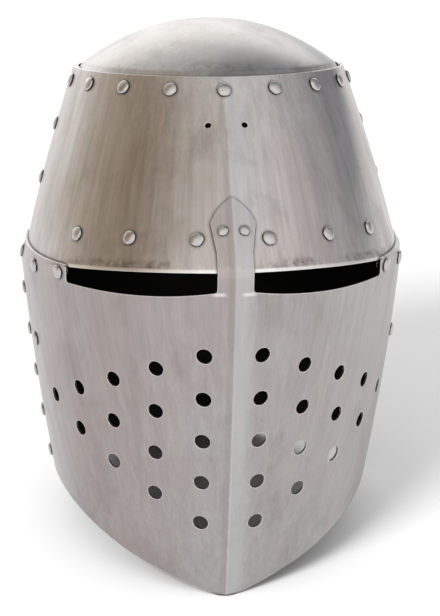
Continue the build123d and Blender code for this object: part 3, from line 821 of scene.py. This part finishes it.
def rivet_metal(name, base, shaded_and_dirty=True):
    """Forged steel with fine pits, and painted shade with dirt where a head meets its plate."""
    material, tree, shader = new_material(name)
    plain = placed(tree)
    pits = spread(tree, noise(tree, plain, 420, 4), 0.45, 0.75, 0, 0.5)
    clouds = noise(tree, plain, 130, 3)
    colour = mixed(tree, pits, rgba(base), rgba(base, 0.6))
    if shaded_and_dirty:
        # Painted shade, with some dirt: the metal darkens where it meets a plate
        shade_and_dirt = spread(tree, openness(tree, 1.6 * mm, 0.60, 0.95), 0, 1, 0.10, 1)
        colour = times(tree, colour, shade_and_dirt)
    sockets = {
        "Base Color": colour,
        "Metallic": 1.0,
        "Roughness": spread(tree, clouds, 0.3, 0.7, 0.22, 0.38),
        "Normal": bumped(tree, clouds, 0.35, 0.6 * mm, rounded_normal(tree, 0.3 * mm)),
    }
    set_sockets(tree, shader, sockets)
    return material


def hide(name, base, dark):
    """Leather with a fine grain and darker creases."""
    material, tree, shader = new_material(name)
    plain = placed(tree)
    cell_sockets = {"Vector": plain, "Scale": 900}
    cells = put(tree, "ShaderNodeTexVoronoi", cell_sockets, feature="DISTANCE_TO_EDGE")
    clouds = noise(tree, plain, 28, 5)
    creases = spread(tree, cells.outputs["Distance"], 0.0, 0.12)
    grained = bumped(tree, creases, 0.35, 0.2 * mm, rounded_normal(tree, 0.5 * mm))
    sockets = {
        "Base Color": mixed(tree, spread(tree, clouds, 0.35, 0.7), rgba(base), rgba(dark)),
        "Roughness": spread(tree, clouds, 0.3, 0.7, 0.5, 0.72),
        "Normal": bumped(tree, clouds, 0.3, 1 * mm, grained),
    }
    set_sockets(tree, shader, sockets)
    return material


# Each sheet's ridge, lip and bend values set how strong its painted highlights are
upper_steel = brushed_sheet("upper_steel", Steel(
    base=(0.48, 0.46, 0.45),
    stain=(0.40, 0.355, 0.32),
    rough=0.31,
    bands=0.10,
    grime=Band(2.2 * mm, 4.6 * mm, 3 * mm),
    soot=1,
    ridge_shine=0.12,
    lip_shine=0.85,
))
face_steel = brushed_sheet("face_steel", Steel(
    base=(0.375, 0.361, 0.359),
    stain=(0.325, 0.283, 0.27),
    rough=0.32,
    bands=0.06,
    left_tint=0.5,
    ridge_shine=0.22,
    bend_shine=0.6,
    strip_lift=1.13,
))
dome_steel = brushed_sheet("dome_steel", Steel(
    base=(0.45, 0.435, 0.425),
    stain=(0.38, 0.35, 0.33),
    rough=0.33,
    bands=0.04,
    grime=Band(108 * mm, 119 * mm, 3 * mm),
    soot=0.5,
    grain=0.7,
))
# The plates' inner faces: very dark, for scale and as painted shade inside the helm
inner_scale_and_shade = scaled_and_shaded_sheet("inner_scale_and_shade", (0.024, 0.020, 0.019))
rivet_steel = rivet_metal("rivet_steel", (0.48, 0.465, 0.455))
buckle_steel = rivet_metal("buckle_steel", (0.5, 0.49, 0.47), False)
liner_leather = hide("liner_leather", (0.24, 0.12, 0.055), (0.13, 0.06, 0.03))
strap_leather = hide("strap_leather", (0.115, 0.055, 0.03), (0.05, 0.025, 0.015))

# The plates, and what holds them together
for name, node, depth, steel in (
    ("upper_front_sheet", "upper_front_plate", 0, upper_steel),
    ("upper_back_sheet", "upper_back_plate", layer, upper_steel),
    ("face_sheet", "face_plate", -layer, face_steel),
    ("lower_back_sheet", "lower_back_plate", 0, face_steel),
):
    sheet_piece(name, node, depth, [steel, inner_scale_and_shade])
dome_faces = [dome_steel, inner_scale_and_shade]
new_piece("crown_sheet", crown_mesh(), "helm", dome_faces, "crown_plate")

for node in (
    "crown_rivets", "brow_liner_rivets", "upper_seam_rivets_left", "upper_seam_rivets_right",
    "lower_seam_rivets_left", "lower_seam_rivets_right", "cheek_rivets_left",
    "cheek_rivets_right", "nape_rivets", "chin_rivet_left", "chin_rivet_right",
    "crown_strap_rivet",
):
    rivet_piece(node + "_domed", node, rivet_steel)
rivet_piece("nose_strip_rivets_domed", "nose_strip_rivets", rivet_steel, 0.72)

# The leather, and the buckle
for node, body, slot, leather in (
    ("liner_band", "helm", "liner_leather", liner_leather),
    ("crown_strap_over", "helm", "liner_leather", liner_leather),
    ("crown_strap_under", "helm", "liner_leather", liner_leather),
    ("buckle_strap", "buckle_strap", "strap_leather", strap_leather),
    ("strap_keeper", "buckle_strap", "strap_leather", strap_leather),
    ("billet_strap", "billet_strap", "strap_leather", strap_leather),
):
    leather_piece(node + "_cut", node, body, leather)
for node in ("buckle_frame", "buckle_prong"):
    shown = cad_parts[node]
    shown.data.materials.clear()
    shown.data.materials.append(buckle_steel)

# The floor, with a painted shadow where the helm covers it
floor_reach = 8
floor_white = (0.93, 0.93, 0.93)
painted_floor_shadow = (0.50, 0.44, 0.42)
cover_reach = 300 * mm
floor_form = bmesh.new()
bmesh.ops.create_grid(floor_form, x_segments=2, y_segments=2, size=floor_reach)
floor = mesh_object("floor", floor_form)
floor_paint, floor_tree, floor_shader = new_material("floor_paint")
# Painted shadow: the floor darkens under and inside the helm
painted_shadow = openness(floor_tree, cover_reach, 0.02, 0.22)
floor_tone = mixed(floor_tree, painted_shadow, rgba(painted_floor_shadow), rgba(floor_white))
set_sockets(floor_tree, floor_shader, {"Base Color": floor_tone, "Roughness": 0.8})
floor.data.materials.append(floor_paint)

# A white photo tent: what the steel mirrors changes slowly from side to side.
# Each stop is a share of the way round and the colour of the tent's wall there.
stops = (
    (0.0, (0.25, 0.175, 0.105)),
    (0.03, (0.27, 0.20, 0.13)),
    (0.06, (0.66, 0.61, 0.56)),
    (0.10, (1.0, 0.98, 0.97)),
    (0.36, (1.0, 1.0, 1.0)),
    (0.44, (0.95, 0.94, 0.95)),
    (0.50, (0.60, 0.56, 0.57)),
    (0.55, (0.36, 0.36, 0.38)),
    (0.60, (0.15, 0.17, 0.20)),
    (0.69, (0.15, 0.17, 0.19)),
    (0.75, (0.62, 0.62, 0.62)),
    (0.88, (0.68, 0.68, 0.67)),
    (0.93, (0.57, 0.50, 0.41)),
    (1.0, (0.25, 0.175, 0.105)),
)
rear_wall = (0.64, 0.63, 0.62)
soft_light = (0.82, 0.82, 0.83)
backdrop = (1.1, 1.1, 1.1)
room_strength = 0.92

room = bpy.data.worlds.new("room")
scene.world = room
room.use_nodes = True
sky = room.node_tree
way = put(sky, "ShaderNodeTexCoord").outputs["Generated"]
around = put(sky, "ShaderNodeTexGradient", {"Vector": way}, gradient_type="RADIAL")
ramp = put(sky, "ShaderNodeValToRGB", {"Fac": around.outputs["Fac"]})
while len(ramp.color_ramp.elements) < len(stops):
    ramp.color_ramp.elements.new(0.5)
for element, (place, colour) in zip(ramp.color_ramp.elements, stops):
    element.position = place
    element.color = rgba(colour)
east, north, aloft = put(sky, "ShaderNodeSeparateXYZ", {0: way}).outputs

# A bright panel behind that ends on the right, the tent's roof, and its rear wall
panel = product(sky, spread(sky, north, 0.64, 0.80, 0, 1.2), spread(sky, east, 0.42, 0.68, 1, 0))
roof = spread(sky, aloft, 0.78, 0.97, 1.55, 1.05)
over_rear = product(sky, spread(sky, aloft, 0.10, 0.22), spread(sky, north, 0.55, 0.75))
walls = mixed(sky, over_rear, ramp.outputs["Color"], rgba(rear_wall))
mirrored = times(sky, walls, product(sky, total(sky, panel, 0.95), roof))
rays = put(sky, "ShaderNodeLightPath").outputs
lit = mixed(sky, rays["Is Diffuse Ray"], mirrored, rgba(soft_light))
seen = mixed(sky, rays["Is Camera Ray"], lit, rgba(backdrop))
set_sockets(sky, sky.nodes["Background"], {"Color": seen, "Strength": room_strength})

# One soft sun for the helm's shadow, which the steel doesn't mirror
sun_way = Vector((1.0, 1.05, -1.1))
sun = bpy.data.lights.new("sun", "SUN")
sun.energy = 2.7
sun.angle = radians(24)
sunlight = bpy.data.objects.new("sun", sun)
sunlight.rotation_mode = "QUATERNION"
sunlight.rotation_quaternion = sun_way.to_track_quat("-Z", "Y")
sunlight.visible_glossy = False
scene.collection.objects.link(sunlight)

# The camera: its place and turn from the upright helm, and its focal length in
# the photo's pixels, whose longer side fills the film
camera_place = (-0.12933, -1.33245, 0.11520)
yaw, pitch, roll = radians(-5.784), radians(-6.480), radians(-0.755)
focal_length = 2077.98
photo_height = 616
film = 36
ahead = Vector((-sin(yaw) * cos(pitch), cos(yaw) * cos(pitch), sin(pitch)))
level = Vector((cos(yaw), sin(yaw), 0))
above = level.cross(ahead)
right = cos(roll) * level + sin(roll) * above
up = -sin(roll) * level + cos(roll) * above
turned_to = Matrix((right, up, -ahead)).transposed().to_4x4()
lens_view = bpy.data.cameras.new("camera")
lens_view.sensor_width = film
lens_view.lens = focal_length * film / photo_height
camera = bpy.data.objects.new("camera", lens_view)
camera.matrix_world = standing @ Matrix.Translation(camera_place) @ turned_to
scene.collection.objects.link(camera)
scene.camera = camera
scene.view_settings.view_transform = "Standard"
